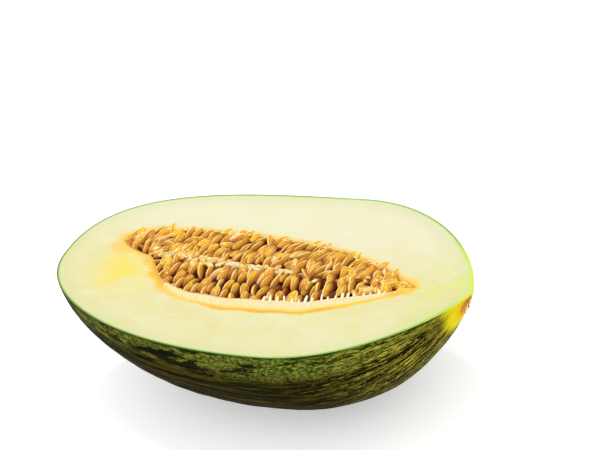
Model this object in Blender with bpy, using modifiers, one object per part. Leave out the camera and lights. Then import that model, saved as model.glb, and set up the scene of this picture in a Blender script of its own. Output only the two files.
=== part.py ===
"""A long melon cut in half lengthwise, lying on its rind with the cut face up.

Metres, +Z up. +X points to the stalk end and -Y to the near side. The origin is under the
middle of the half, on the surface it lies on. Three pieces: the half itself, rind and flesh
in one with a seed cavity in its cut face; the pulp with its seeds, which fills the cavity;
and the dry stub of the stalk in its socket.
"""

import math
import random

import bmesh
import bpy
from mathutils import Matrix, Vector
from mathutils.bvhtree import BVHTree

MM = 0.001
TINY = 1e-6

# The whole half
LENGTH = 260 * MM
KEEL_DEPTH = 77.5 * MM  # from the cut face to the deepest point of the uncut rind
FOOT_CUT = 1.2 * MM  # height of the small flat that the half rests on
CUT_Z = KEEL_DEPTH - FOOT_CUT

# The outline of the cut face: a middle line that bows, and a width to each side of it
WIDEST_X = 32.2 * MM
BOW = -14.2 * MM
NEAR_WIDTH = 60.8 * MM
FAR_WIDTH = 88.8 * MM
BLOSSOM_END = (2.407, 0.433)  # the two exponents that round the outline's left end
STALK_END = (1.976, 0.74)

# The keel line: its deepest station and how it rises to both ends
DEEPEST_X = 5.2 * MM
KEEL_BLOSSOM_END = (2.0, 0.52)
KEEL_STALK_END = (3.0, 0.9)

# Shallow furrows that run from the stalk end along the rind and fade
FURROWS = 16
FURROW_DEPTH = 0.02  # of the section's radius
FURROWS_FADE_X = 20 * MM

# The seed cavity: a back lobe as long as the cavity and a shorter front lobe. Each pair of
# exponents rounds a lobe's left and right end.
CAVITY_LEFT_X = -99 * MM
CAVITY_RIGHT_X = 96.5 * MM
CAVITY_LEFT_Y = 18.5 * MM
CAVITY_RIGHT_Y = 0.0
CAVITY_WIDEST_X = 12.7 * MM
CAVITY_ENDS = ((2, 0.48), (2, 0.92))
CAVITY_DEPTH = 28 * MM
CAVITY_CENTRE = Vector((-6 * MM, 4 * MM))
BACK_LOBE = 22 * MM
FRONT_LIP = 19.5 * MM
FRONT_LOBE = 26.4 * MM
FRONT_LOBE_LEFT_X = -75.2 * MM
FRONT_LOBE_WIDEST_X = -35.2 * MM
FRONT_LOBE_ENDS = ((2, 1.16), (2, 1.07))
GAP = 0.4 * MM  # between two pieces that touch

# The pulp's upper surface, as heights below the cut face
BAND_WIDTH = 9.5 * MM  # the pale band along the near edge, level with the cut
BAND_LEFT_X = -58 * MM
BAND_WIDEST_X = 35 * MM
BAND_ENDS = ((2, 0.4), (2, 0.9))
BAND_DROP = 0.5 * MM
FRONT_TROUGH_DROP = 6.0 * MM
SEPTUM_DROP = 2.8 * MM
BACK_TROUGH_DROP = 6.0 * MM
FAR_RIM_DROP = 1.8 * MM

# Where the pulp's surface slopes, as shares of the front or the back lobe's width
BAND_SLOPE = 0.25
FRONT_SEPTUM_SLOPE = 0.3
BACK_SEPTUM_SLOPE = 0.35
RIM_SLOPE = 0.12  # of the way from the cavity's edge to its centre
RIM_CHANGE = 2.2  # how fast the rim goes from flush in front to low at the back

# The septum, the fibrous strip between the front and the back rows of seeds
SEPTUM_Y = 5 * MM
SEPTUM_SLANT = -0.05
SEPTUM_LEAST = 0.3  # of the cavity's width from the near edge

# One seed
SEED_LENGTH = 13 * MM
SEED_WIDTH = 5.3 * MM
SEED_THICKNESS = 2.5 * MM
SEED_TAPER = 0.28
SEED_SINK = 1.3 * MM  # how deep its lowest point lies in the pulp
SEED_TOP_DROP = 0.8 * MM  # the least depth of a seed's top under the cut face
SEED_WALL_MARGIN = 1.6 * MM

# How the seeds lie: each row's pitch, and how far a seed strays from its row's rule
SEED_PITCH = 6.0 * MM
SEED_JITTER_X = 1.0 * MM
SEED_JITTER_Y = 1.2 * MM
SEED_TURN = 16  # degrees to each side of the row's heading
SEED_RISE = (2, 20)  # degrees
SEED_ROLL = (-10, 40)  # degrees
STRAY_X = 50 * MM  # from here to the right end the seeds lie less and less in order
STRAY_REACH = 40 * MM
STRAY_RISE = 14  # degrees
THREADS_X = 2 * MM  # to the right of this the front row leaves room for the torn threads
THREADS_REACH = 16 * MM
THREADS_ROOM = 3.5 * MM

# How finely the round forms are divided: around, and from end to end or from top to bottom
RIND_STEPS = (64, 30)
BOWL_STEPS = (56, 18)
SEED_STEPS = (6, 4)
STUB_SIDES = 24
CUTTER_RISE = 5 * MM  # how far the cutters reach out past the surface that they cut

# The stalk's stub: a corky disc, nearly flush with the rind, in a shallow round socket
STUB_X = 127.2 * MM  # where its axis meets the rind
STUB_Y = -2.5 * MM
STUB_DROP = 6.5 * MM
STUB_TILT = math.radians(20)  # its outer face looks this far down
STUB_RADIUS = 4.7 * MM
STUB_RISE = 0.7 * MM
STUB_EDGE = 0.5 * MM
SOCKET_DEPTH = 3 * MM


def lens(x, left, middle, right, left_round, right_round):
    """A hump over x from left to right, 1 at the middle and 0 at and past both ends."""
    if x <= middle:
        away, (power, root) = (middle - x) / (middle - left), left_round
    else:
        away, (power, root) = (x - middle) / (right - middle), right_round
    return max(0.0, 1 - min(away, 1.0) ** power) ** root


def half_outline(x):
    """The cut face's near and far edge at a station of X, before it is centred."""
    half = LENGTH / 2
    width = lens(x, -half, WIDEST_X, half, BLOSSOM_END, STALK_END)
    middle = BOW * (1 - (x / half) ** 2)
    return middle - NEAR_WIDTH * width, middle + FAR_WIDTH * width


def middle_of_width():
    """What centres the half in Y."""
    edges = [half_outline(LENGTH * (step / 500 - 0.5)) for step in range(501)]
    return (min(near for near, far in edges) + max(far for near, far in edges)) / 2


SHIFT_Y = -middle_of_width()


def keel_depth(x):
    half = LENGTH / 2
    return KEEL_DEPTH * lens(x, -half, DEEPEST_X, half, KEEL_BLOSSOM_END, KEEL_STALK_END)


def furrow(x, angle):
    """What is left of a section's radius at this angle: less than 1 in a furrow."""
    fade = min(max((x - FURROWS_FADE_X) / (LENGTH / 2 - FURROWS_FADE_X), 0.0), 1.0)
    return 1 - FURROW_DEPTH * fade * (0.5 - 0.5 * math.cos(FURROWS * angle))


def rind_point(direction):
    """The rind's point for a point of a unit sphere whose poles are on X."""
    x = direction.x * LENGTH / 2
    near, far = half_outline(x)
    angle = math.atan2(direction.z, direction.y)
    radius = furrow(x, angle)
    y = (near + far) / 2 + (far - near) / 2 * math.cos(angle) * radius
    return Vector((x, y + SHIFT_Y, CUT_Z + keel_depth(x) * math.sin(angle) * radius))


def cavity_edges(x):
    """The cavity's near and far edge in the cut face at a station of X."""
    along = (x - CAVITY_LEFT_X) / (CAVITY_RIGHT_X - CAVITY_LEFT_X)
    spine = CAVITY_LEFT_Y + (CAVITY_RIGHT_Y - CAVITY_LEFT_Y) * along
    whole = lens(x, CAVITY_LEFT_X, CAVITY_WIDEST_X, CAVITY_RIGHT_X, *CAVITY_ENDS)
    front = lens(
        x, FRONT_LOBE_LEFT_X, FRONT_LOBE_WIDEST_X, CAVITY_RIGHT_X, *FRONT_LOBE_ENDS
    )
    return spine - FRONT_LIP * whole - FRONT_LOBE * front, spine + BACK_LOBE * whole


def cavity_outline(angle, inset=0.0):
    """A point of the cavity's edge, going round it, moved in by the inset."""
    middle = (CAVITY_LEFT_X + CAVITY_RIGHT_X) / 2
    reach = (CAVITY_RIGHT_X - CAVITY_LEFT_X) / 2
    x = middle + reach * math.cos(angle)
    near, far = cavity_edges(x)
    point = Vector((x, far if math.sin(angle) > 0 else near))
    if abs(math.sin(angle)) < TINY:
        point.y = (near + far) / 2
    if inset:
        step = math.radians(1)
        tangent = cavity_outline(angle + step) - cavity_outline(angle - step)
        point += inset * Vector((-tangent.y, tangent.x)).normalized()
    return point


def septum_y(x):
    near, far = cavity_edges(x)
    least = near + SEPTUM_LEAST * (far - near)
    return min(max(SEPTUM_Y + SEPTUM_SLANT * x, least), far)


def band_edge_y(x):
    """Where the pale near band ends and the seeds start."""
    near, _ = cavity_edges(x)
    return near + BAND_WIDTH * lens(x, BAND_LEFT_X, BAND_WIDEST_X, CAVITY_RIGHT_X, *BAND_ENDS)


def smooth(value):
    value = min(max(value, 0.0), 1.0)
    return value * value * (3 - 2 * value)


def pulp_drop(x, y):
    """How far the pulp lies below the cut face."""
    band, septum, (_, far) = band_edge_y(x), septum_y(x), cavity_edges(x)
    if y < septum:
        share = (y - band) / max(septum - band, MM)
        down = smooth(share / BAND_SLOPE)
        up = smooth((share - 1) / FRONT_SEPTUM_SLOPE + 1)
        trough = FRONT_TROUGH_DROP + (SEPTUM_DROP - FRONT_TROUGH_DROP) * up
        return BAND_DROP + (trough - BAND_DROP) * down
    share = (y - septum) / max(far - septum, MM)
    return SEPTUM_DROP + (BACK_TROUGH_DROP - SEPTUM_DROP) * smooth(share / BACK_SEPTUM_SLOPE)


def rim_drop(angle):
    """How far the pulp's own rim lies below the cut face: flush in front, low at the back."""
    back = smooth(0.5 + RIM_CHANGE * math.sin(angle))
    return BAND_DROP + (FAR_RIM_DROP - BAND_DROP) * back


def bowl_point(direction, inset, depth):
    """The cavity's wall for a point of the lower half of a unit sphere."""
    angle = math.atan2(direction.y, direction.x)
    share = math.hypot(direction.x, direction.y)
    edge = cavity_outline(angle, inset)
    flat = CAVITY_CENTRE + (edge - CAVITY_CENTRE) * share
    return Vector((flat.x, flat.y + SHIFT_Y, CUT_Z - depth * math.sqrt(max(1 - share**2, 0))))


def pulp_point(direction):
    """The pulp's outside for a point of a unit sphere: wall below, seed bed above."""
    angle = math.atan2(direction.y, direction.x)
    share = math.hypot(direction.x, direction.y)
    rim = rim_drop(angle)
    depth = CAVITY_DEPTH - GAP
    reach = math.sqrt(1 - (rim / depth) ** 2)
    around = Vector((math.cos(angle), math.sin(angle), 0)) * share * reach
    point = bowl_point(around, GAP, depth)
    if direction.z > -TINY:
        inner = smooth((1 - share) / RIM_SLOPE)
        bed = pulp_drop(point.x, point.y - SHIFT_Y)
        point.z = CUT_Z - rim - (bed - rim) * inner
    return point


def new_material(name, colour, roughness):
    material = bpy.data.materials.new(name)
    material.use_nodes = True
    shader = material.node_tree.nodes["Principled BSDF"]
    shader.inputs["Base Color"].default_value = (*colour, 1)
    shader.inputs["Roughness"].default_value = roughness
    shader.inputs["Metallic"].default_value = 0
    return material


def new_object(name, collection, bm, material=None):
    """A smooth-shaded object of this mesh, in the collection."""
    bmesh.ops.recalc_face_normals(bm, faces=bm.faces)
    mesh = bpy.data.meshes.new(name)
    bm.to_mesh(mesh)
    bm.free()
    mesh.shade_smooth()
    mesh.set_sharp_from_angle(angle=math.radians(40))
    obj = bpy.data.objects.new(name, mesh)
    collection.objects.link(obj)
    if material:
        mesh.materials.append(material)
    return obj


def new_cutter(name, bm):
    obj = new_object(name, cutters, bm)
    obj.hide_render = True
    obj.display_type = "WIRE"
    return obj


def cut(obj, cutter):
    modifier = obj.modifiers.new(cutter.name, "BOOLEAN")
    modifier.operation = "DIFFERENCE"
    modifier.object = cutter


def slice_off(bm, height, normal):
    """Cuts the mesh by a level plane, drops what is beyond it and closes the cut."""
    geometry = bm.verts[:] + bm.edges[:] + bm.faces[:]
    plane = Vector((0, 0, height))
    bmesh.ops.bisect_plane(
        bm, geom=geometry, dist=TINY / 10, plane_co=plane, plane_no=normal, clear_outer=True
    )
    edges = [edge for edge in bm.edges if edge.is_boundary]
    bmesh.ops.holes_fill(bm, edges=edges)


def unit_sphere(steps, poles_on_x=False):
    around, along = steps
    bm = bmesh.new()
    turn = Matrix.Rotation(math.pi / 2, 4, "Y") if poles_on_x else Matrix()
    bmesh.ops.create_uvsphere(
        bm, u_segments=around, v_segments=along, radius=1, matrix=turn
    )
    return bm


def make_half(collection):
    """Rind and flesh in one: a rounded ovoid, cut level above and by a small foot below."""
    bm = unit_sphere(RIND_STEPS, poles_on_x=True)
    for vert in bm.verts:
        vert.co = rind_point(vert.co)
    slice_off(bm, CUT_Z, Vector((0, 0, 1)))
    slice_off(bm, 0, Vector((0, 0, -1)))
    green = new_material("rind", (0.03, 0.06, 0.015), 0.35)
    half = new_object("melon_half", collection, bm, green)
    half.data.materials.append(new_material("flesh", (0.88, 0.86, 0.62), 0.5))
    for face in half.data.polygons:
        if face.normal.z > 0.99:
            face.material_index = 1
    cut(half, make_cavity_cutter())
    cut(half, make_socket_cutter())


def make_cavity_cutter():
    """The hollow for the seeds: a bowl below the cut face, with straight sides above it."""
    bm = unit_sphere(BOWL_STEPS)
    upper = [vert for vert in bm.verts if vert.co.z > TINY]
    bmesh.ops.delete(bm, geom=upper, context="VERTS")
    for vert in bm.verts:
        vert.co = bowl_point(vert.co, 0.0, CAVITY_DEPTH)
    rim = [edge for edge in bm.edges if edge.is_boundary]
    raised = bmesh.ops.extrude_edge_only(bm, edges=rim)["geom"]
    for item in raised:
        if isinstance(item, bmesh.types.BMVert):
            item.co.z += CUTTER_RISE
    top = [edge for edge in bm.edges if edge.is_boundary]
    bmesh.ops.holes_fill(bm, edges=top)
    return new_cutter("cavity_cutter", bm)


def stub_cylinder(radius, inner, outer):
    """A closed cylinder on the stub's axis, from inner to outer past the rind's surface."""
    bm = bmesh.new()
    foot = Vector((STUB_X, STUB_Y + SHIFT_Y, CUT_Z - STUB_DROP))
    turn = Matrix.Rotation(math.pi / 2 + STUB_TILT, 4, "Y")
    bmesh.ops.create_cone(
        bm,
        cap_ends=True,
        segments=STUB_SIDES,
        radius1=radius,
        radius2=radius,
        depth=outer - inner,
        matrix=Matrix.Translation(foot) @ turn @ Matrix.Translation((0, 0, (inner + outer) / 2)),
    )
    return bm


def make_socket_cutter():
    bm = stub_cylinder(STUB_RADIUS + GAP, -SOCKET_DEPTH, CUTTER_RISE)
    return new_cutter("socket_cutter", bm)


def make_stub(collection):
    """The dry scar of the stalk: a low disc with a rounded outer edge."""
    bm = stub_cylinder(STUB_RADIUS, GAP - SOCKET_DEPTH, STUB_RISE)
    stub = new_object("stalk_stub", collection, bm, new_material("stalk", (0.42, 0.33, 0.18), 0.8))
    bevel = stub.modifiers.new("edge", "BEVEL")
    bevel.width = STUB_EDGE
    bevel.segments = 2
    bevel.limit_method = "ANGLE"


def seed_rows():
    """Each row of seeds: its first and last X, its Y at a station, and its heading in degrees."""

    def front(share, room=0.0):
        def row_y(x):
            clear = room * smooth((x - THREADS_X) / THREADS_REACH)
            return band_edge_y(x) + share * (septum_y(x) - band_edge_y(x)) + clear

        return row_y

    def back(share):
        return lambda x: septum_y(x) + share * (cavity_edges(x)[1] - septum_y(x))

    return (
        (-44 * MM, 86 * MM, front(0.25, THREADS_ROOM), 92),
        (-64 * MM, 78 * MM, front(0.66), 84),
        (-88 * MM, 84 * MM, back(0.28), 68),
        (-91 * MM, 82 * MM, back(0.58), 64),
        (-86 * MM, 76 * MM, back(0.88), 60),
    )


def seed_mesh(place, bed):
    """One seed: a flat almond, pointed where it was attached and round at the other end."""
    bm = unit_sphere(SEED_STEPS, poles_on_x=True)
    for vert in bm.verts:
        taper = 1 + SEED_TAPER * vert.co.x
        size = Vector((SEED_LENGTH, SEED_WIDTH * taper, SEED_THICKNESS * taper))
        vert.co = Vector(part * whole / 2 for part, whole in zip(vert.co, size))
    bm.transform(place)
    settle(bm, bed)
    bmesh.ops.translate(bm, verts=bm.verts, vec=(0, wall_shift(bm), 0))
    settle(bm, bed)
    return bm


def settle(bm, bed):
    """Moves a seed up or down until it is sunk a little into the bed, and below the cut."""
    heights = []
    for vert in bm.verts:
        hit = bed.ray_cast(Vector((vert.co.x, vert.co.y, 1)), Vector((0, 0, -1)))[0]
        if hit:
            heights.append(vert.co.z - hit.z)
    down = min(heights) + SEED_SINK
    high = max(vert.co.z for vert in bm.verts) - down - (CUT_Z - SEED_TOP_DROP)
    bmesh.ops.translate(bm, verts=bm.verts, vec=(0, 0, -down - max(high, 0.0)))


def wall_shift(bm):
    """How far a seed moves in Y to be clear of the bowl's wall, which narrows with depth."""
    over = under = 0.0
    for vert in bm.verts:
        depth = min(max((CUT_Z - vert.co.z) / CAVITY_DEPTH, 0.0), 0.9)
        share = math.sqrt(1 - depth**2)
        flat = Vector((vert.co.x, vert.co.y - SHIFT_Y))
        flat = CAVITY_CENTRE + (flat - CAVITY_CENTRE) / share
        near, far = cavity_edges(flat.x)
        over = max(over, flat.y - far + SEED_WALL_MARGIN)
        under = max(under, near + SEED_WALL_MARGIN - flat.y)
    return under - over


def seed_places():
    """A turning and moving matrix for each seed, row by row."""
    draw = random.Random(12)
    for first, last, row_y, heading in seed_rows():
        count = round((last - first) / SEED_PITCH)
        for step in range(count + 1):
            x = first + (last - first) * step / count
            x += draw.uniform(-SEED_JITTER_X, SEED_JITTER_X)
            y = row_y(x) + draw.uniform(-SEED_JITTER_Y, SEED_JITTER_Y)
            stray = smooth((x - STRAY_X) / STRAY_REACH)
            turn = math.radians(heading + draw.uniform(-SEED_TURN, SEED_TURN) * (1 + 2 * stray))
            rise = math.radians(draw.uniform(*SEED_RISE) + STRAY_RISE * stray)
            roll = math.radians(draw.uniform(*SEED_ROLL))
            yield (
                Matrix.Translation((x, y + SHIFT_Y, CUT_Z))
                @ Matrix.Rotation(turn, 4, "Z")
                @ Matrix.Rotation(-rise, 4, "Y")
                @ Matrix.Rotation(roll, 4, "X")
            )


def fill_pockets(mesh):
    """Keeps the mesh's largest shell, so that pockets closed in between seeds are filled."""
    bm = bmesh.new()
    bm.from_mesh(mesh)
    left, shells = set(bm.verts), []
    while left:
        shell, edge_of = set(), [left.pop()]
        while edge_of:
            vert = edge_of.pop()
            shell.add(vert)
            near = {edge.other_vert(vert) for edge in vert.link_edges} & left
            left -= near
            edge_of.extend(near)
        shells.append(shell)
    largest = max(shells, key=len)
    small = [vert for vert in bm.verts if vert not in largest]
    bmesh.ops.delete(bm, geom=small, context="VERTS")
    bm.to_mesh(mesh)
    bm.free()


def make_seed_mass(collection):
    """The pulp that fills the cavity, with every seed grown into it, as one piece."""
    bm = unit_sphere(BOWL_STEPS)
    for vert in bm.verts:
        vert.co = pulp_point(vert.co)
    bed = BVHTree.FromBMesh(bm)
    tan = new_material("seeds", (0.72, 0.42, 0.12), 0.35)
    pulp = new_object("seed_mass", collection, bm, tan)
    seeds = bpy.data.collections.new("seeds")
    bpy.context.scene.collection.children.link(seeds)
    for number, place in enumerate(seed_places()):
        new_object(f"seed_{number}", seeds, seed_mesh(place, bed), tan)
    union = pulp.modifiers.new("seeds", "BOOLEAN")
    union.operation = "UNION"
    union.operand_type = "COLLECTION"
    union.collection = seeds
    union.solver = "MANIFOLD"
    graph = bpy.context.evaluated_depsgraph_get()
    joined = bpy.data.meshes.new_from_object(pulp.evaluated_get(graph))
    fill_pockets(joined)
    pulp.modifiers.clear()
    pulp.data = joined
    for seed in list(seeds.objects):
        bpy.data.objects.remove(seed)
    bpy.data.collections.remove(seeds)


for obj in list(bpy.data.objects):
    bpy.data.objects.remove(obj)

melon = bpy.data.collections.new("melon half")
cutters = bpy.data.collections.new("cutters")
for group in (melon, cutters):
    bpy.context.scene.collection.children.link(group)

make_half(melon)
make_seed_mass(melon)
make_stub(melon)
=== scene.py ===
"""The looks of a long melon cut in half: mottled rind, pale moist flesh and wet seeds in pulp.

Metres, +Z up, in the part's own frame: +X points to the stalk end, -Y to the near side, and the
cut face is level. The sizes of the half and of its cavity are the part's. Colours are linear.
"""

import math
import random

import bpy
import numpy as np
from mathutils import Matrix, Vector, noise


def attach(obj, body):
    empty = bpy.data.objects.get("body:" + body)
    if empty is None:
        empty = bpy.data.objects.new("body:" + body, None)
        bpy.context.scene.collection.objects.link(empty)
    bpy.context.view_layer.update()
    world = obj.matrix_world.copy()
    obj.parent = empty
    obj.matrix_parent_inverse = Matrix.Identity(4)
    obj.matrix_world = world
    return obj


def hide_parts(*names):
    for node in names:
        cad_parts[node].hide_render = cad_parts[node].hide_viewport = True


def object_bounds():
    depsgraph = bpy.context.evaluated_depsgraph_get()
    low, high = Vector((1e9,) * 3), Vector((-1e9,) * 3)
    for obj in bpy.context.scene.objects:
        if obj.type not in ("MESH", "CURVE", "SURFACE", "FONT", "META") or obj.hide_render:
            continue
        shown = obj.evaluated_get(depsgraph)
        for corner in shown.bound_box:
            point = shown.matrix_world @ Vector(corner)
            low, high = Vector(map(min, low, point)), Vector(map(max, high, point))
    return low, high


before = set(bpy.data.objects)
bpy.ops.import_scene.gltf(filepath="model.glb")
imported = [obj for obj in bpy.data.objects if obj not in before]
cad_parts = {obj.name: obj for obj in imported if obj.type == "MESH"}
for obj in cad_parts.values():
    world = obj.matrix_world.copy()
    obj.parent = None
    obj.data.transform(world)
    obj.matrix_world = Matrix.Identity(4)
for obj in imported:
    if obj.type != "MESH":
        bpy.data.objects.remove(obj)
CAD_BOX = [list(corner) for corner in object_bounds()]

MM = 0.001

# The whole half
LENGTH = 260 * MM
HALF_LENGTH = LENGTH / 2
KEEL_DEPTH = 77.5 * MM  # from the cut face to the deepest point of the rind, before the flat
CUT_Z = CAD_BOX[1][2]
WIDEST_X = 32.2 * MM
BOW = -14.2 * MM
NEAR_WIDTH = 60.8 * MM
FAR_WIDTH = 88.8 * MM
BLOSSOM_END = (2.407, 0.433)
STALK_END = (1.976, 0.74)
DEEPEST_X = 5.2 * MM
KEEL_BLOSSOM_END = (2.0, 0.52)
KEEL_STALK_END = (3.0, 0.9)
FURROWS = 16
FURROW_DEPTH = 0.02  # of the section's radius
FURROWS_FADE_X = 20 * MM
RIND_LUMPS = 0.35 * MM
MEAN_RADIUS = 75 * MM

# The seed cavity: a back lobe as long as the cavity and a shorter front lobe
CAVITY_LEFT_X = -99 * MM
CAVITY_RIGHT_X = 96.5 * MM
CAVITY_LEFT_Y = 18.5 * MM
CAVITY_RIGHT_Y = 0
CAVITY_DEPTH = 28 * MM
CAVITY_CENTRE = np.array((-6 * MM, 4 * MM))
CAVITY_WIDEST_X = 12.7 * MM
CAVITY_ENDS = ((2, 0.48), (2, 0.92))
BACK_LOBE = 22 * MM
FRONT_LIP = 19.5 * MM
FRONT_LOBE = 26.4 * MM
FRONT_LOBE_LEFT_X = -75.2 * MM
FRONT_LOBE_WIDEST_X = -35.2 * MM
FRONT_LOBE_ENDS = ((2, 1.16), (2, 1.07))
LIP_DROP = 0.9 * MM  # how far the far edge of the cavity is rounded over
LIP_WIDTH = 2.6 * MM
GAP = 0.1 * MM  # between the pulp and the cavity's wall

# The pulp: a pale band along the near edge, a trough, the septum and a second trough
BAND_WIDTH = 9.5 * MM
BAND_LEFT_X = -58 * MM
BAND_WIDEST_X = 35 * MM
BAND_ENDS = ((2, 0.4), (2, 0.9))
BAND_DROP = 0.5 * MM
TROUGH_DROP = 9.5 * MM
SEPTUM_Y = 5 * MM
SEPTUM_SLANT = -0.05
SEPTUM_LEAST = 0.3  # of the cavity's width from the near edge
SEPTUM_DROP = 1.7 * MM
SEPTUM_SINKS = 1.6 * MM  # further, past the middle
FAR_RIM_DROP = 1.1 * MM
TIP_DROP = 0.3 * MM
BAND_SLOPE = 0.30  # of the way from the band to the septum
SEPTUM_SLOPE = 0.28
BACK_SLOPE = 0.30
PULP_LUMPS = 0.8 * MM

# One seed, and how the seeds lie
SEED_LENGTH = 13.6 * MM
SEED_WIDTH = 6.3 * MM
SEED_THICKNESS = 2.1 * MM
SEED_TOP_DROP = 0.3 * MM
SEED_PITCH = 5.5 * MM
BURIED_PITCH = 1.25  # times the pitch, in rows under others
SEED_JITTER_X = 1.3 * MM
SEED_JITTER_Y = 1.6 * MM
STRAY_X = 38 * MM  # from here to the right the seeds lie less and less in order
STRAY_REACH = 40 * MM
STUBBY_X = 50 * MM  # from here to the right they are shorter and thicker
STUBBY_REACH = 26 * MM
SWAY = 44  # degrees that neighbours lean to one side together
CROSSED = 0.13  # the share of the upper seeds that lie across their neighbours
END_ON = 0.25  # the share that stand on end, at the right
SEED_TURNS = 4  # tried for each seed, and the one that lies lowest is kept

# The stalk's scar
STUB_X = 127.2 * MM
STUB_Y = -2.5 * MM
STUB_DROP = 6.5 * MM
STUB_TILT = math.radians(20)
STUB_RADIUS = 4.7 * MM
STUB_RISE = 0.7 * MM
SCAR_RECESS = 1.0 * MM
SCAR_DEPTH = 2.4 * MM

# Fineness of the meshes
STATIONS = 260
AROUND = 140
CUT_RINGS = 40
WALL_RINGS = 14
BED_AROUND = 420
BED_RINGS = 64
BED_BOTTOM_RINGS = 10
SEED_STEPS = 14
SEED_SIDES = 16
TUBE_SIDES = 10

# The camera at the photograph's angle, from the middle of the cut face
CAMERA_LENS = 165.48
CAMERA_RIGHT = Vector((0.88832, 0.41198, -0.20286))
CAMERA_UP = Vector((-0.08501, 0.58165, 0.80899))
CAMERA_PLACE = (0.7211, -1.0700, 0.8774)


def lens(x, left, middle, right, left_round, right_round):
    """A hump over x from left to right, 1 at the middle and 0 at and past both ends."""
    away_left = np.clip((middle - x) / (middle - left), 0, 1)
    away_right = np.clip((x - middle) / (right - middle), 0, 1)
    left_side = (1 - away_left ** left_round[0]) ** left_round[1]
    right_side = (1 - away_right ** right_round[0]) ** right_round[1]
    return np.where(x <= middle, left_side, right_side)


def smooth(value):
    """A smooth step from 0 to 1."""
    value = np.clip(value, 0, 1)
    return value * value * (3 - 2 * value)


def half_outline(x):
    """The near and the far edge of the cut face at a station of X."""
    width = lens(x, -HALF_LENGTH, WIDEST_X, HALF_LENGTH, BLOSSOM_END, STALK_END)
    middle = BOW * (1 - (x / HALF_LENGTH) ** 2)
    return middle - NEAR_WIDTH * width, middle + FAR_WIDTH * width


OUTLINE_NEAR, OUTLINE_FAR = half_outline(np.linspace(-HALF_LENGTH, HALF_LENGTH, 501))
SHIFT_Y = -(OUTLINE_NEAR.min() + OUTLINE_FAR.max()) / 2
SCAR_PLACE = np.array((STUB_X, STUB_Y + SHIFT_Y, CUT_Z - STUB_DROP))
SCAR_AXIS = np.array((math.cos(STUB_TILT), 0, -math.sin(STUB_TILT)))


def keel_depth(x):
    """How deep the rind hangs below the cut at a station of X."""
    ends = (KEEL_BLOSSOM_END, KEEL_STALK_END)
    return KEEL_DEPTH * lens(x, -HALF_LENGTH, DEEPEST_X, HALF_LENGTH, *ends)


def cavity_edges(x):
    """The cavity's near and far edge in the cut face at a station of X."""
    along = (x - CAVITY_LEFT_X) / (CAVITY_RIGHT_X - CAVITY_LEFT_X)
    spine = CAVITY_LEFT_Y + (CAVITY_RIGHT_Y - CAVITY_LEFT_Y) * along
    whole = lens(x, CAVITY_LEFT_X, CAVITY_WIDEST_X, CAVITY_RIGHT_X, *CAVITY_ENDS)
    lobe = (FRONT_LOBE_LEFT_X, FRONT_LOBE_WIDEST_X, CAVITY_RIGHT_X)
    front = lens(x, *lobe, *FRONT_LOBE_ENDS)

    # Small waves in both edges, and one wide notch in the near one
    waves = 0.5 * np.sin(x / (9 * MM)) + 0.35 * np.sin(x / (3.9 * MM) + 1)
    waves = waves - 1.7 * np.exp(-(((x - 37 * MM) / (9 * MM)) ** 2))
    near = spine - FRONT_LIP * whole - FRONT_LOBE * front + waves * MM * front
    ripple = 0.35 * np.sin(x / (4.7 * MM)) + 0.25 * np.sin(x / (2.3 * MM) + 2)
    return near, spine + BACK_LOBE * whole + ripple * MM * whole


def cavity_outline(angle, inset=0.0):
    """Points of the cavity's edge, going round it, moved in by the inset."""
    middle = (CAVITY_LEFT_X + CAVITY_RIGHT_X) / 2
    reach = (CAVITY_RIGHT_X - CAVITY_LEFT_X) / 2
    x = middle + reach * np.cos(angle)
    near, far = cavity_edges(x)
    y = np.where(np.sin(angle) > 0, far, near)
    points = np.stack([x, y], -1)
    if inset:
        step = math.radians(1)
        tangent = cavity_outline(angle + step) - cavity_outline(angle - step)
        normal = np.stack([-tangent[..., 1], tangent[..., 0]], -1)
        points = points + inset * normal / np.linalg.norm(normal, axis=-1, keepdims=True)
    return points


def placed(flat, height):
    """Points of the plan at a height, in the part's frame."""
    return np.stack(np.broadcast_arrays(flat[..., 0], flat[..., 1] + SHIFT_Y, height), -1)


def bowl(outline, share, depth, top=0):
    """Points a share of the way out to an outline, on a bowl that hangs from the cut."""
    flat = CAVITY_CENTRE + (outline - CAVITY_CENTRE) * np.asarray(share)[..., None]
    return placed(flat, CUT_Z - top - (depth - top) * np.sqrt(np.clip(1 - share**2, 0, 1)))


def septum_y(x):
    """The middle of the fibrous strip between the front and the back seeds."""
    near, far = cavity_edges(x)
    least = near + SEPTUM_LEAST * (far - near)
    return np.minimum(np.maximum(SEPTUM_Y + SEPTUM_SLANT * x, least), far)


def band_edge_y(x):
    """Where the pale near band ends and the seeds start."""
    near, _ = cavity_edges(x)
    return near + BAND_WIDTH * lens(x, BAND_LEFT_X, BAND_WIDEST_X, CAVITY_RIGHT_X, *BAND_ENDS)


def middle_y(x):
    """Half way from the band to the far edge, near the right tip."""
    near, far = cavity_edges(x)
    return 0.5 * (near + BAND_WIDTH * 0.35 + far)


def pulp_drop(x, y):
    """How far the pulp lies below the cut face."""
    band, septum, (_, far) = band_edge_y(x), septum_y(x), cavity_edges(x)
    ridge = SEPTUM_DROP + SEPTUM_SINKS * smooth((x - 15 * MM) / (12 * MM))
    share = (y - band) / np.maximum(septum - band, MM)
    down = smooth(share / BAND_SLOPE)
    up = smooth((share - (1 - SEPTUM_SLOPE)) / SEPTUM_SLOPE)
    front = TROUGH_DROP + (ridge - TROUGH_DROP) * up
    front = BAND_DROP + (front - BAND_DROP) * down
    share = (y - septum) / np.maximum(far - septum, MM)
    back = ridge + (TROUGH_DROP - ridge) * smooth((share - 0.04) / BACK_SLOPE)
    drop = np.where(y < septum, front, back)
    return drop + (TIP_DROP - drop) * smooth((x - 80 * MM) / (7 * MM))


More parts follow.
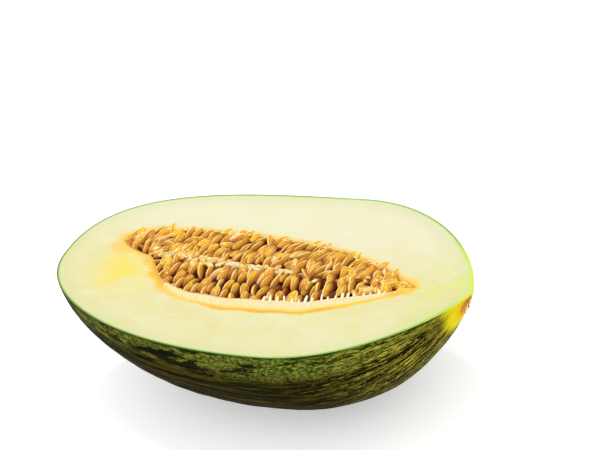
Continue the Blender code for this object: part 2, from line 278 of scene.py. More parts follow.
def wobble(points, size, seed):
    """Smooth noise from -1 to 1 at each point, with lumps of about this size."""
    shift = Vector((seed * 7.3, seed * 3.1, seed * 5.7))
    return np.array([noise.noise(Vector(point) / size + shift) for point in points])


class Shade:
    """One material's nodes: places, textures, and colours painted over each other."""

    def __init__(self, name):
        self.material = bpy.data.materials.new(name)
        self.material.use_nodes = True
        self.tree = self.material.node_tree
        self.shader = self.tree.nodes["Principled BSDF"]
        self.place = self.node("TexCoord", output="Object")
        self.x, self.y, self.z = self.node("SeparateXYZ", {0: self.place}, slice(0, 3))
        self.colour = None

    def node(self, kind, values=(), output=0, **settings):
        """The output of a new node with these settings, and values in its sockets."""
        made = self.tree.nodes.new("ShaderNode" + kind)
        for name, value in settings.items():
            setattr(made, name, value)
        for socket, value in dict(values).items():
            self.put(made.inputs[socket], value)
        return made.outputs[output]

    def put(self, socket, value):
        """Links a socket to another's output, or sets it to a number or a colour."""
        if isinstance(value, bpy.types.NodeSocket):
            self.tree.links.new(value, socket)
        elif socket.type == "RGBA":
            socket.default_value = (*value, 1)
        else:
            socket.default_value = value

    def math(self, operation, first, second=0):
        return self.node("Math", {0: first, 1: second}, operation=operation)

    def plus(self, first, second):
        return self.math("ADD", first, second)

    def minus(self, first, second):
        return self.math("SUBTRACT", first, second)

    def times(self, first, *others):
        for other in others:
            first = self.math("MULTIPLY", first, other)
        return first

    def stray(self, texture, gain):
        """A texture's distance from its middle value, enlarged."""
        return self.times(self.minus(texture, 0.5), gain)

    def mix(self, share, first, second):
        return self.node("Mix", {0: share, 6: first, 7: second}, 2, data_type="RGBA")

    def paint(self, where, colour):
        """Lays a colour over what is there."""
        self.colour = self.mix(where, self.colour, colour)

    def fade(self, value, low, high, end=1, start=0):
        """A smooth step: start where the value is at low, end where it is at high."""
        sockets = enumerate((value, low, high, start, end))
        return self.node("MapRange", sockets, "Result", interpolation_type="SMOOTHSTEP")

    def along(self, low, high, end=1, start=0):
        """A fade along X, in millimetres."""
        return self.fade(self.x, low * MM, high * MM, end, start)

    def across(self, low, high, end=1, start=0):
        """A fade along Y, in millimetres."""
        return self.fade(self.y, low * MM, high * MM, end, start)

    def two_tone(self, texture, low, high, colours):
        """The first of two colours where the texture is low, and the second where it is high."""
        return self.mix(self.fade(texture, low, high), *colours)

    def noise(self, scale, detail, roughness, where=None, distortion=0):
        sockets = {"Vector": where or self.place, "Scale": scale, "Detail": detail}
        sockets |= {"Roughness": roughness, "Distortion": distortion}
        return self.node("TexNoise", sockets, "Fac")

    def vector(self, x, y, z):
        return self.node("CombineXYZ", {0: x, 1: y, 2: z})

    def drawn_out(self, share, where=None):
        """The place with X multiplied by a share, so that a texture is drawn out along X."""
        sockets = {0: where or self.place, 1: (share, 1, 1)}
        return self.node("VectorMath", sockets, operation="MULTIPLY")

    def distance(self, point):
        return self.node("VectorMath", {0: self.place, 1: point}, "Value", operation="DISTANCE")

    def stored(self, name):
        """A value kept on the mesh's points."""
        return self.node("Attribute", output="Fac", attribute_name=name)

    def bump(self, height, strength, reach):
        sockets = {"Height": height, "Strength": strength, "Distance": reach}
        self.set(Normal=self.node("Bump", sockets))

    def subsurface(self, weight, radius, scale):
        self.set(Subsurface_Weight=weight, Subsurface_Radius=radius, Subsurface_Scale=scale)

    def set(self, **values):
        """Sets or links the shader's sockets, named with underscores for spaces."""
        for name, value in values.items():
            self.put(self.shader.inputs[name.replace("_", " ")], value)

    def done(self, **values):
        """The material, with the colour painted so far and these values."""
        self.set(Base_Color=self.colour, **values)
        return self.material


# Colours of the rind's layers, each pair the dark and the light of one layer
SPECKLED = ((0.016, 0.024, 0.002), (0.100, 0.110, 0.014))
BLOTCHED = (0.160, 0.155, 0.018)
PATCHED = ((0.0045, 0.006, 0.0015), (0.045, 0.050, 0.010))
BLACK_GREEN = (0.005, 0.006, 0.002)
FRESH = ((0.035, 0.055, 0.005), (0.29, 0.32, 0.045))
# Painted shade: the lower streaks are painted very dark for the shaded underside
LOWER_STREAKS_IN_SHADE = ((0.002, 0.0014, 0.0004), (0.046, 0.032, 0.002))
OLIVE = ((0.110, 0.098, 0.010), (0.310, 0.285, 0.030))
BETWEEN_STREAKS = (0.003, 0.005, 0.001)
STREAK_SPECKS = (0.010, 0.012, 0.001)
STREAK_GAPS = (0.004, 0.005, 0.001)
# Painted shade over the stalk streaks, low down
STREAK_SHADE_BELOW = (0.008, 0.006, 0.001)
MOSS = ((0.036, 0.062, 0.006), (0.200, 0.240, 0.031))
MOSS_GAPS = (0.006, 0.014, 0.002)
MOSS_STREAKS = (0.010, 0.018, 0.002)
YELLOW_RIBBON = (0.54, 0.49, 0.050)
YELLOW_LINE = (0.55, 0.48, 0.055)
# Painted sheen: a paler grey-brown for the lower left of the rind
GREY_BROWN_SHEEN = ((0.020, 0.017, 0.006), (0.115, 0.095, 0.038))
BLOSSOM_TIP = ((0.014, 0.013, 0.004), (0.075, 0.064, 0.018))
SEAM = (0.014, 0.040, 0.004)
STALK_YELLOW = ((0.64, 0.54, 0.008), (0.70, 0.38, 0.010))


class Rind(Shade):
    """The rind's material, with the values and textures that its layers share."""

    def __init__(self):
        super().__init__("mottled_rind")
        self.around = self.stored("around")
        self.skin = self.vector(self.x, self.around, 0)
        self.speck = self.patches(0.70, 680, 4, 0.75)
        self.blotch = self.patches(0.50, 230, 8, 0.72)
        self.gaps = self.patches(0.16, 80, 9, 0.68, 0.3)
        self.streak = self.streaks(16, 330, 0, 8, 0.70, 0.6)
        self.fine = self.streaks(260, 600, 2, 7, 0.68, 0.6)
        self.mask = self.patch_mask()

    def up(self, low, high, end=1, start=0):
        """A fade from the keel up to the cut, in millimetres along the skin."""
        return self.fade(self.math("ABSOLUTE", self.around), low * MM, high * MM, end, start)

    def patches(self, share, scale, detail, roughness, distortion=0):
        """Noise over the skin, drawn out along the fruit."""
        where = self.drawn_out(share, self.skin)
        return self.noise(scale, detail, roughness, where, distortion)

    def streaks(self, along, around, seed, detail, roughness, distortion):
        """Noise in streaks, from its scales along and round the fruit and a seed of its own."""
        where = self.vector(self.times(self.x, along), self.times(self.around, around), seed)
        return self.noise(1, detail, roughness, where, distortion)

    def lines(self, streaks, soft, hard):
        """Thin lines where the streaks pass their middle value."""
        return self.fade(self.math("ABSOLUTE", self.minus(streaks, 0.5)), soft, hard)

    def patch_mask(self):
        """Low in the black patches: more of them low down, and more just under the cut on the left
        as painted shade.
        """
        mask = self.plus(self.patches(0.36, 84, 12, 0.72, 0.4), self.stray(self.blotch, 0.22))
        # Painted shade: more black patches just under the cut, most on the left
        mask = self.minus(mask, self.times(self.up(97, 112), self.along(0, 40, 0.01, 0.05)))
        return self.minus(mask, self.up(100, 60, 0.06))


def rind_patches(s):
    """Ragged black patches on a sage-green ground full of fine specks."""
    s.colour = s.two_tone(s.speck, 0.46, 0.54, SPECKLED)
    s.paint(s.fade(s.blotch, 0.50, 0.56), BLOTCHED)
    s.paint(s.fade(s.mask, 0.438, 0.422), s.two_tone(s.speck, 0.50, 0.72, PATCHED))
    s.paint(s.fade(s.gaps, 0.442, 0.422), BLACK_GREEN)


def fresh_ground(s):
    """A fresher green between the patches, past the middle and high up."""
    upper = s.times(s.up(80, 108), s.along(-30, 60), s.fade(s.mask, 0.43, 0.47, 0.8))
    s.paint(upper, s.two_tone(s.speck, 0.47, 0.53, FRESH))


def lower_streaks_and_shade(s):
    """Long streaks low on the fruit, black and olive-brown, painted very dark as painted shade of
    the underside.
    """
    s.paint(s.up(112, 93, 0.93), s.two_tone(s.streak, 0.48, 0.60, LOWER_STREAKS_IN_SHADE))


def stalk_streaks(s):
    """Streaks that gather to the stalk, short and olive first, then coarser and paler, with
    painted shade low down.
    """
    short = s.streaks(84, 290, 9, 8, 0.72, 0.5)
    band = s.times(s.plus(short, s.fine), 0.5)
    coarse = s.streaks(42, 150, 31, 7, 0.66, 0.4)
    band = s.plus(band, s.times(s.along(80, 112), s.minus(coarse, band)))
    olive = s.mix(s.along(98, 126), *OLIVE)
    streaks = s.mix(s.fade(band, 0.513, 0.520), BETWEEN_STREAKS, olive)
    streaks = s.mix(s.fade(s.speck, 0.52, 0.58, 0.6), streaks, STREAK_SPECKS)
    streaks = s.mix(s.fade(s.gaps, 0.462, 0.448, 0.9), streaks, STREAK_GAPS)
    # Painted shade: darker low down, towards the keel
    streaks = s.mix(s.up(100, 66, 0.65), streaks, STREAK_SHADE_BELOW)
    s.paint(s.along(35, 105, 0.92), streaks)


def mossy_edge(s):
    """Speckled green right under the cut, past the middle."""
    moss = s.mix(s.fade(s.mask, 0.44, 0.455), MOSS_GAPS, s.two_tone(s.speck, 0.46, 0.54, MOSS))
    moss = s.mix(s.fade(s.fine, 0.495, 0.480), moss, MOSS_STREAKS)
    s.paint(s.times(s.up(98, 110), s.along(-10, 40), s.along(118, 95, 0.85)), moss)


def yellow_lines(s):
    """Fine yellow lines that run to the stalk, broken here and there."""
    ribbon = s.lines(s.streaks(34, 250, 21, 4, 0.60, 0.8), 0.016, 0.005)
    s.paint(s.times(ribbon, s.along(55, 100), s.fade(s.fine, 0.46, 0.50)), YELLOW_RIBBON)
    line = s.lines(s.streaks(26, 420, 4, 3, 0.55, 0.9), 0.022, 0.006)
    s.paint(s.times(line, s.fade(s.blotch, 0.42, 0.56), s.along(35, 105)), YELLOW_LINE)


def left_sheen_and_blossom_end(s):
    """Browner, with a paler grey-brown painted sheen in streaks, low on the left; the streaks die
    out before the very end.
    """
    # Painted sheen: paler grey-brown streaks low on the left
    left = s.times(s.along(-40, -105), s.up(85, 50), 0.8)
    s.paint(left, s.two_tone(s.streak, 0.40, 0.62, GREY_BROWN_SHEEN))
    s.paint(s.along(-92, -126), s.two_tone(s.noise(380, 8, 0.74), 0.42, 0.60, BLOSSOM_TIP))


def dark_seam(s):
    """The dark line just under the cut, fainter past the middle."""
    s.paint(s.times(s.up(116.2, 117.4), s.along(-10, 40, 0.4, 1)), SEAM)


def stalk_patch(s):
    """Yellow round the stalk's scar, orange close to it."""
    scar = s.distance(tuple(SCAR_PLACE))
    ragged = s.plus(scar, s.stray(s.streak, 30 * MM))
    yellow = s.two_tone(scar, 12 * MM, 5 * MM, STALK_YELLOW)
    s.paint(s.fade(ragged, 21 * MM, 14 * MM), yellow)


# In the order in which they are painted
RIND_LAYERS = (
    rind_patches, fresh_ground, lower_streaks_and_shade, stalk_streaks, mossy_edge, yellow_lines,
    left_sheen_and_blossom_end, dark_seam, stalk_patch,
)


def rind_material():
    """Dark green, with ragged paler patches and specks, and yellow lines to the stalk."""
    s = Rind()
    for layer in RIND_LAYERS:
        layer(s)
    s.bump(s.times(s.plus(s.speck, s.streak), 0.5), 0.30, 0.6 * MM)
    return s.done(Roughness=s.fade(s.speck, 0.3, 0.7, 0.60, 0.42), Specular_IOR_Level=0.004)


# Colours of the flesh
CREAM = ((0.670, 0.640, 0.360), (0.660, 0.605, 0.280))
WISPS = (0.71, 0.69, 0.47)
FAR_WHITE = (0.71, 0.69, 0.52)
BLUSH = (0.77, 0.62, 0.085)
CORE_GLOW = (0.72, 0.60, 0.18)
FRINGE = (0.84, 0.44, 0.004)
LEFT_TIP = (0.84, 0.48, 0.020)
RIGHT_TIP = (0.86, 0.52, 0.012)
GREEN_FIBRES = (0.50, 0.60, 0.16)
GREEN_PATCHES = (0.62, 0.70, 0.13)
PALE_GREEN = (0.50, 0.56, 0.24)
LIME = ((0.17, 0.36, 0.022), (0.24, 0.50, 0.030))
STALK_LIME = (0.56, 0.68, 0.09)
SKIN = ((0.040, 0.085, 0.010), (0.13, 0.30, 0.03))
STALK_SKIN = (0.55, 0.58, 0.05)
HALO = (0.82, 0.60, 0.07)
ORANGE = ((0.84, 0.36, 0), (0.86, 0.50, 0.01))
FAR_ORANGE = (0.80, 0.50, 0.08)
CAVITY_WALL = ((0.66, 0.26, 0.008), (0.88, 0.60, 0.10))


class Flesh(Shade):
    """The flesh's material, with the values and textures that its layers share."""

    def __init__(self):
        super().__init__("cut_flesh")
        self.rim = self.stored("rim_mm")
        self.core = self.stored("core_mm")
        self.cloud = self.noise(48, 5, 0.6)
        self.wisp = self.noise(160, 5, 0.6, self.drawn_out(0.35))


def cream_flesh(s):
    """Cream with soft clouds and wisps, whiter on the far side."""
    s.colour = s.two_tone(s.cloud, 0.35, 0.68, CREAM)
    s.paint(s.fade(s.wisp, 0.50, 0.72, 0.5), WISPS)
    s.paint(s.across(0, 45, 0.6), FAR_WHITE)


def warm_core(s):
    """Yellow along the core, and deeper to the left of the front seeds."""
    blush = s.fade(s.distance((-80 * MM, -10 * MM, CUT_Z)), 34 * MM, 6 * MM)
    s.paint(s.times(blush, s.fade(s.cloud, 0.28, 0.60, 0.9)), BLUSH)
    glow = s.plus(s.core, s.times(s.cloud, 6))
    s.paint(s.fade(glow, 8.5, 2.5, 0.5), CORE_GLOW)
    frayed = s.plus(s.plus(s.core, s.stray(s.wisp, 16)), s.times(s.cloud, 9))
    left = s.times(s.along(-30, -60), s.across(12, -4), s.fade(s.wisp, 0.36, 0.52, 1, 0.35))
    s.paint(s.times(s.fade(frayed, 11, 5.5), left), FRINGE)


def warm_tips(s):
    """Orange at both ends of the cavity."""
    left = s.plus(s.distance((-94 * MM, 12 * MM, CUT_Z)), s.stray(s.wisp, 20 * MM))
    s.paint(s.fade(left, 14 * MM, 5 * MM, 0.6), LEFT_TIP)
    right = s.plus(s.distance((90 * MM, SHIFT_Y, CUT_Z)), s.stray(s.wisp, 16 * MM))
    s.paint(s.fade(right, 11 * MM, 2 * MM), RIGHT_TIP)


def stalk_greens(s):
    """Green fibres that fan out from the stalk, and soft yellow-green patches."""
    fan = s.math("ARCTAN2", s.plus(s.y, 2.5 * MM), s.minus(134 * MM, s.x))
    rays = s.noise(1, 4, 0.6, s.vector(s.times(fan, 6), s.times(s.x, 30), 0))
    s.paint(s.times(s.along(78, 122), s.fade(rays, 0.40, 0.64, 0.38)), GREEN_FIBRES)
    patches = s.fade(s.noise(75, 4, 0.55), 0.44, 0.62)
    s.paint(s.times(patches, s.along(92, 122, 0.70)), GREEN_PATCHES)


def skin_edge(s):
    """Towards the skin: pale green, then lime, then the skin itself; paler by the stalk."""
    s.paint(s.fade(s.plus(s.rim, s.stray(s.cloud, 5)), 14, 1.5, 0.30), PALE_GREEN)
    by_stalk = s.along(96, 120)
    beyond = s.times(by_stalk, s.across(-30, 0, 1, 0.2))
    near_side = s.times(s.along(0, 60, 0.3), s.across(0, -20))
    reach = s.minus(s.minus(s.rim, near_side), s.times(beyond, 0.8))
    lime = s.mix(beyond, s.mix(s.along(-40, 30), *LIME), STALK_LIME)
    s.paint(s.fade(reach, 2, 0.7), lime)
    skin = s.mix(by_stalk, s.mix(s.across(-10, 50), *SKIN), STALK_SKIN)
    s.paint(s.fade(s.rim, 0.75, 0.30), skin)


def orange_line(s):
    """The orange line at the core, strongest on the near side, right of the middle."""
    ragged = s.plus(s.core, s.stray(s.wisp, 2.4))
    near_side = s.across(4, -6)
    strong = s.times(near_side, s.along(-60, 5, 1, 0.25))
    s.paint(s.times(s.fade(ragged, 3.8, 0.8, 0.5), strong), HALO)
    wider = s.minus(ragged, s.along(25, 60, 0.9))
    wider = s.plus(wider, s.stray(s.cloud, 5))
    orange = s.two_tone(s.cloud, 0.35, 0.65, ORANGE)
    s.paint(s.times(s.fade(wider, 2.6, 1.2), strong), orange)
    s.paint(s.times(s.fade(ragged, 2.2, 0.2, 0.5), s.minus(1, near_side)), FAR_ORANGE)


def cavity_wall(s):
    """Orange fibres under the cut."""
    below = s.fade(s.minus(CUT_Z, s.z), 0.8 * MM, 4 * MM)
    s.paint(below, s.two_tone(s.wisp, 0.40, 0.62, CAVITY_WALL))


# In the order in which they are painted
FLESH_LAYERS = (
    cream_flesh, warm_core, warm_tips, stalk_greens, skin_edge, orange_line, cavity_wall,
)


def flesh_material():
    """Moist cream flesh, greener to the skin, with an orange line round the seeds."""
    s = Flesh()
    for layer in FLESH_LAYERS:
        layer(s)
    s.subsurface(0.2, (1, 0.8, 0.4), 2.5 * MM)
    s.bump(s.noise(700, 4, 0.65, s.drawn_out(0.5)), 0.20, 0.4 * MM)
    return s.done(Roughness=s.fade(s.wisp, 0.3, 0.7, 0.50, 0.34), Specular_IOR_Level=0.35)


# Colours of the pulp
# The deep pulp, the low fibres and the low slope are darker as painted shade
SHADED_PULP = ((0.09, 0.010, 0.002), (0.30, 0.075, 0.008))
LESS_SHADED_PULP = (0.60, 0.25, 0.03)
PULP_FIBRES = ((0.62, 0.42, 0.14), (0.84, 0.68, 0.36))
SHADED_PULP_FIBRES = (0.42, 0.16, 0.02)
BAND_CREAM = ((0.74, 0.60, 0.25), (0.77, 0.67, 0.37))
BAND_YELLOW = (0.82, 0.54, 0.05)
SLOPE_ORANGE = ((0.42, 0.13, 0.010), (0.74, 0.40, 0.08))
SHADED_SLOPE = (0.16, 0.03, 0.003)
PULP_BY_WALL = (0.76, 0.38, 0.04)
PULP_TIP = ((0.76, 0.34, 0.020), (0.90, 0.60, 0.09))


def pulp_material():
    """Wet pulp: a pale band and fibres, with painted shade that makes it dark orange-brown deep in
    the hollows between the seeds.
    """
    s = Shade("wet_pulp")
    band, fibre, edge = map(s.stored, ("band", "fibre", "edge_mm"))
    mottle = s.noise(260, 5, 0.6)
    across = s.plus(s.x, s.times(s.y, 0.47))
    ribs = s.noise(800, 3, 0.6, s.vector(across, s.times(s.y, 0.14), 0))
    drop = s.minus(CUT_Z, s.z)
    # Painted shade: dark where the pulp lies deep, lighter where it lies high, and the fibres
    # darker where they lie low
    s.colour = s.mix(mottle, *SHADED_PULP)
    s.paint(s.fade(drop, 6 * MM, 2.2 * MM), LESS_SHADED_PULP)
    beige = s.two_tone(mottle, 0.35, 0.65, PULP_FIBRES)
    s.paint(fibre, s.mix(s.fade(drop, 3 * MM, 5.5 * MM), beige, SHADED_PULP_FIBRES))

    # The band: yellow by the flesh, then ribbed cream, then orange down to the seeds, darkening
    # with painted shade as it goes down
    level = s.mix(s.fade(band, 0.04, 0.40), BAND_YELLOW, s.two_tone(ribs, 0.30, 0.70, BAND_CREAM))
    slope = s.two_tone(ribs, 0.42, 0.60, SLOPE_ORANGE)
    s.paint(s.fade(band, 1.50, 1.20), s.mix(s.fade(drop, 1.8 * MM, 6 * MM), slope, SHADED_SLOPE))
    s.paint(s.fade(band, 1.06, 0.96), level)
    s.paint(s.times(s.fade(edge, 3.4, 0.6), s.fade(band, 0.9, 1.1, 0.9)), PULP_BY_WALL)
    s.paint(s.along(78, 86), s.two_tone(mottle, 0.38, 0.62, PULP_TIP))
    s.set(Coat_Weight=0.3, Coat_Roughness=0.12, Specular_IOR_Level=0.3)
    s.subsurface(0.15, (1, 0.5, 0.2), 1.5 * MM)
    s.bump(s.plus(s.noise(700, 4, 0.6), ribs), 0.3, 0.5 * MM)
    return s.done(Roughness=s.fade(mottle, 0.3, 0.7, 0.40, 0.18))


# Colours of the seeds
SEED_FACE = ((0.86, 0.36, 0.004), (0.99, 0.60, 0.009))
# Painted highlights on the seed faces
SEED_GOLD_HIGHLIGHT = (0.97, 0.62, 0.016)
SEED_RUBBED = (0.40, 0.11, 0.002)
SEED_GRAIN = (0.46, 0.15, 0.003)
# Painted shade in the seed's groove
SEED_GROOVE_SHADE = (0.46, 0.14, 0.002)
# Pale margins, partly the seeds' own colour and partly a painted highlight
SEED_MARGIN_AND_HIGHLIGHT = ((0.88, 0.50, 0.07), (0.99, 0.80, 0.30))
SEED_PALE = (0.92, 0.74, 0.34)
SEED_POINT = (0.92, 0.70, 0.36)
# Painted shade where other seeds lie over them
SEED_SUNK_SHADE = (0.40, 0.11, 0.003)
SEED_DEEP_SHADE = (0.12, 0.018, 0.003)


def seed_material():
    """Golden tan seeds, each of its own tint, wet and shining: paler margins, partly a painted
    highlight, gold blots of painted highlight, and painted shade in a groove and under other
    seeds.
    """
    s = Shade("wet_seeds")
    tint, margin, along, across = map(s.stored, ("tint", "margin", "along", "across"))
    side = s.math("ABSOLUTE", across)
    place = s.vector(s.times(across, 3.2), s.times(along, 2.2), s.times(tint, 90))
    grain = s.noise(1.6, 4, 0.6, place)
    rub = s.noise(420, 5, 0.65)
    blot = s.noise(150, 3, 0.6)
    s.colour = s.two_tone(tint, 0, 0.80, SEED_FACE)
    # Painted highlights: lighter gold blots on the faces
    s.paint(s.fade(blot, 0.45, 0.66, 0.7), SEED_GOLD_HIGHLIGHT)
    s.paint(s.fade(rub, 0.50, 0.34, 0.5), SEED_RUBBED)
    s.paint(s.fade(grain, 0.50, 0.36, 0.6), SEED_GRAIN)
    # Painted shade: a dark line in the groove just inside the margin
    s.paint(s.times(s.fade(side, 0.42, 0.60), s.fade(side, 0.78, 0.66, 0.7)), SEED_GROOVE_SHADE)
    # Paler margins, partly the seeds' own colour and partly a painted highlight on the wet edges
    rim = s.times(s.math("MAXIMUM", s.fade(side, 0.70, 0.80), margin), 0.8)
    s.paint(rim, s.two_tone(rub, 0.35, 0.60, SEED_MARGIN_AND_HIGHLIGHT))
    s.paint(s.fade(tint, 0.95, 0.98, 0.65), SEED_PALE)
    s.paint(s.fade(along, 0.07, 0, 0.5), SEED_POINT)

    # Painted shade: darker where other seeds lie over them, and duller there
    sunk = s.plus(s.stored("sunk_mm"), s.times(blot, 1.2))
    s.paint(s.fade(sunk, 0.7, 2.4, 0.80), SEED_SUNK_SHADE)
    s.paint(s.fade(sunk, 2.0, 3.6, 0.95), SEED_DEEP_SHADE)
    s.set(Coat_Weight=s.fade(sunk, 3.2, 1.6, 0.50), Coat_Roughness=0.06)
    s.bump(s.plus(rub, grain), 0.30, 0.6 * MM)
    return s.done(Roughness=0.45, Specular_IOR_Level=0.1)


# Colours of the threads, the jelly and the scar
TOOTH_COLOURS = ((0.92, 0.80, 0.52), (0.98, 0.94, 0.82))
STRAND_COLOURS = ((0.80, 0.60, 0.26), (0.93, 0.80, 0.50))
JELLY_STRAW = ((0.72, 0.40, 0.05), (0.90, 0.68, 0.26))
JELLY_ORANGE = (0.84, 0.42, 0.02)
CORK = ((0.72, 0.52, 0.22), (0.93, 0.84, 0.60))
CORK_ORANGE = (0.80, 0.50, 0.10)
CORK_SLIT = (0.22, 0.035, 0.004)
CORK_RING = (0.50, 0.26, 0.020)


def thread_material(colours):
    """Soft wet threads."""
    s = Shade("pale_threads")
    s.colour = s.two_tone(s.noise(180, 3, 0.6), 0.35, 0.65, colours)
    s.subsurface(0.3, (1, 0.7, 0.4), 1 * MM)
    s.bump(s.noise(900, 3, 0.6), 0.3, 0.3 * MM)
    return s.done(Roughness=0.3, Specular_IOR_Level=0.3)


def jelly_material():
    """Clear straw-coloured jelly with a wet shine, orange at the right tip."""
    s = Shade("clear_jelly")
    s.colour = s.two_tone(s.noise(240, 3, 0.6), 0.35, 0.60, JELLY_STRAW)
    s.paint(s.along(74, 82), JELLY_ORANGE)
    s.subsurface(0.4, (1, 0.7, 0.4), 2 * MM)
    return s.done(Roughness=0.14, Specular_IOR_Level=0.4)


def scar_material():
    """Dry cork: straw fibres, orange above, with a red-brown slit and a darker ring."""
    s = Shade("corky_scar")
    fibres = s.noise(900, 4, 0.65, s.drawn_out(0.3))
    s.colour = s.two_tone(fibres, 0.35, 0.65, CORK)
    above = s.minus(s.z, float(SCAR_PLACE[2]))
    s.paint(s.fade(above, -1 * MM, 2 * MM), CORK_ORANGE)
    slanted = s.plus(s.minus(s.y, float(SCAR_PLACE[1])), s.times(above, 0.35))
    slit = s.plus(s.math("ABSOLUTE", slanted), s.stray(fibres, 2 * MM))
    slit = s.times(s.fade(slit, 1.3 * MM, 0.5 * MM), s.fade(above, -3.5 * MM, -1.5 * MM))
    s.paint(slit, CORK_SLIT)
    s.paint(s.fade(s.stored("from_middle"), 0.84, 0.95, 0.9), CORK_RING)
    s.bump(fibres, 0.8, 0.8 * MM)
    return s.done(Roughness=0.8)


def new_piece(name, points, faces, materials, face_materials=None, values=None):
    """A smooth-shaded mesh object that rides on the fruit, with values kept on its points."""
    mesh = bpy.data.meshes.new(name)
    mesh.from_pydata([tuple(point) for point in points], [], faces)
    for material in materials:
        mesh.materials.append(material)
    if face_materials is not None:
        mesh.polygons.foreach_set("material_index", face_materials)
    for label, numbers in (values or {}).items():
        stored = mesh.attributes.new(label, "FLOAT", "POINT")
        stored.data.foreach_set("value", np.asarray(numbers, np.float32))
    mesh.validate()
    mesh.shade_smooth()
    mesh.set_sharp_from_angle(angle=math.radians(50))
    piece = bpy.data.objects.new(name, mesh)
    bpy.context.scene.collection.objects.link(piece)
    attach(piece, "root")
    return piece


def skin_faces(rings):
    """Quads between each closed ring of point numbers and the next."""
    return [
        (outer[k], outer[k - 1], inner[k - 1], inner[k])
        for outer, inner in zip(rings[:-1], rings[1:])
        for k in range(len(outer))
    ]


def numbered(start, count, sides):
    """The numbers of so many points from a start, in rings of this many sides."""
    return np.arange(start, start + count).reshape(-1, sides).tolist()


def closed_faces(start, count, sides):
    """Quads over rings of points, and a face over each end."""
    rings = numbered(start, count, sides)
    return [*skin_faces(rings), tuple(rings[0]), tuple(rings[-1][::-1])]


def ball_points(grid):
    """A grid's points by rings, with one point each for the first and the last ring."""
    return np.concatenate([grid[0, :1], grid[1:-1].reshape(-1, grid.shape[-1]), grid[-1, :1]])


def ball_faces(start, steps, sides):
    """Faces of a closed ball: a point, rings of points that follow it, and a last point."""
    rings = numbered(start + 1, sides * (steps - 1), sides)
    last = rings[-1][-1] + 1
    faces = [(start, rings[0][k - 1], rings[0][k]) for k in range(sides)]
    faces += skin_faces(rings)
    return faces + [(last, rings[-1][k], rings[-1][k - 1]) for k in range(sides)]


def rind_grid():
    """The rind's points, by station of X and by angle from the far edge round to the near."""
    turn = np.linspace(0, math.pi, STATIONS + 1)[:, None]
    angle = np.linspace(0, math.pi, AROUND + 1)[None, :]
    x = -np.cos(turn) * HALF_LENGTH
    near, far = half_outline(x)
    fade = np.clip((x - FURROWS_FADE_X) / (HALF_LENGTH - FURROWS_FADE_X), 0, 1)
    radius = 1 - FURROW_DEPTH * fade * (0.5 - 0.5 * np.cos(FURROWS * angle))
    y = (near + far) / 2 + (far - near) / 2 * np.cos(angle) * radius + SHIFT_Y
    z = CUT_Z - keel_depth(x) * np.sin(angle) * radius
    points = np.stack(np.broadcast_arrays(x, y, z), -1)
    inward = np.stack(np.broadcast_arrays(0 * x, np.cos(angle), -np.sin(angle)), -1)
    flat = points.reshape(-1, 3)
    lumps = wobble(flat * (0.6, 1, 1), 16 * MM, 1) + 0.5 * wobble(flat, 7 * MM, 2)
    hold = smooth(np.sin(angle) / 0.25) * smooth(np.sin(turn) / 0.15)
    depth = RIND_LUMPS * (1 + lumps.reshape(points.shape[:2])) * hold
    points = points - inward * depth[..., None]
    points = press_scar(points.reshape(-1, 3)).reshape(points.shape)
    points[..., 2] = np.maximum(points[..., 2], 0)
    return points


def press_scar(points):
    """A round recess for the stalk's scar."""
    away = points - SCAR_PLACE
    axial = away @ SCAR_AXIS
    radial = np.linalg.norm(away - axial[:, None] * SCAR_AXIS, axis=1)
    recess = SCAR_RECESS * smooth((STUB_RADIUS + 0.9 * MM - radial) / (1.0 * MM))
    moved = points - recess[:, None] * SCAR_AXIS
    moved[:, 0] = np.minimum(moved[:, 0], HALF_LENGTH)
    return moved


def rind_faces(numbers, left, right):
    """Quads over the rind's grid of point numbers, and a fan of triangles at each end."""
    faces = []
    for row, after in zip(numbers[:-1], numbers[1:]):
        faces += list(zip(row[:-1], row[1:], after[1:], after[:-1]))
    faces += [(left, b, a) for a, b in zip(numbers[0][:-1], numbers[0][1:])]
    faces += [(right, a, b) for a, b in zip(numbers[-1][:-1], numbers[-1][1:])]
    return faces


def lip_side(core_points):
    """1 along the cavity's far edge, which is rounded over, and 0 along the near one."""
    return smooth((core_points[:, 1] - SHIFT_Y + 2 * MM) / (10 * MM))


def cut_rings(rim_points, core_points):
    """Rings of points over the cut face, from the skin to the cavity's edge."""
    for share in 0.5 - 0.5 * np.cos(np.linspace(0, math.pi, CUT_RINGS + 1)[1:]):
        ring = rim_points + (core_points - rim_points) * share
        to_core = distance_mm(ring, core_points) * MM
        lip = LIP_DROP * np.clip(1 - to_core / LIP_WIDTH, 0, 1) ** 2
        ring[:, 2] = np.where(share < 0.5, CUT_Z, CUT_Z - lip * lip_side(core_points))
        yield ring


def wall_rings(core, core_points):
    """Rings of points down the cavity's wall."""
    lip = LIP_DROP * lip_side(core_points)
    for step in range(1, WALL_RINGS + 1):
        share = math.cos(math.pi / 2 * step / (WALL_RINGS + 0.6))
        yield bowl(core, share, CAVITY_DEPTH, lip)


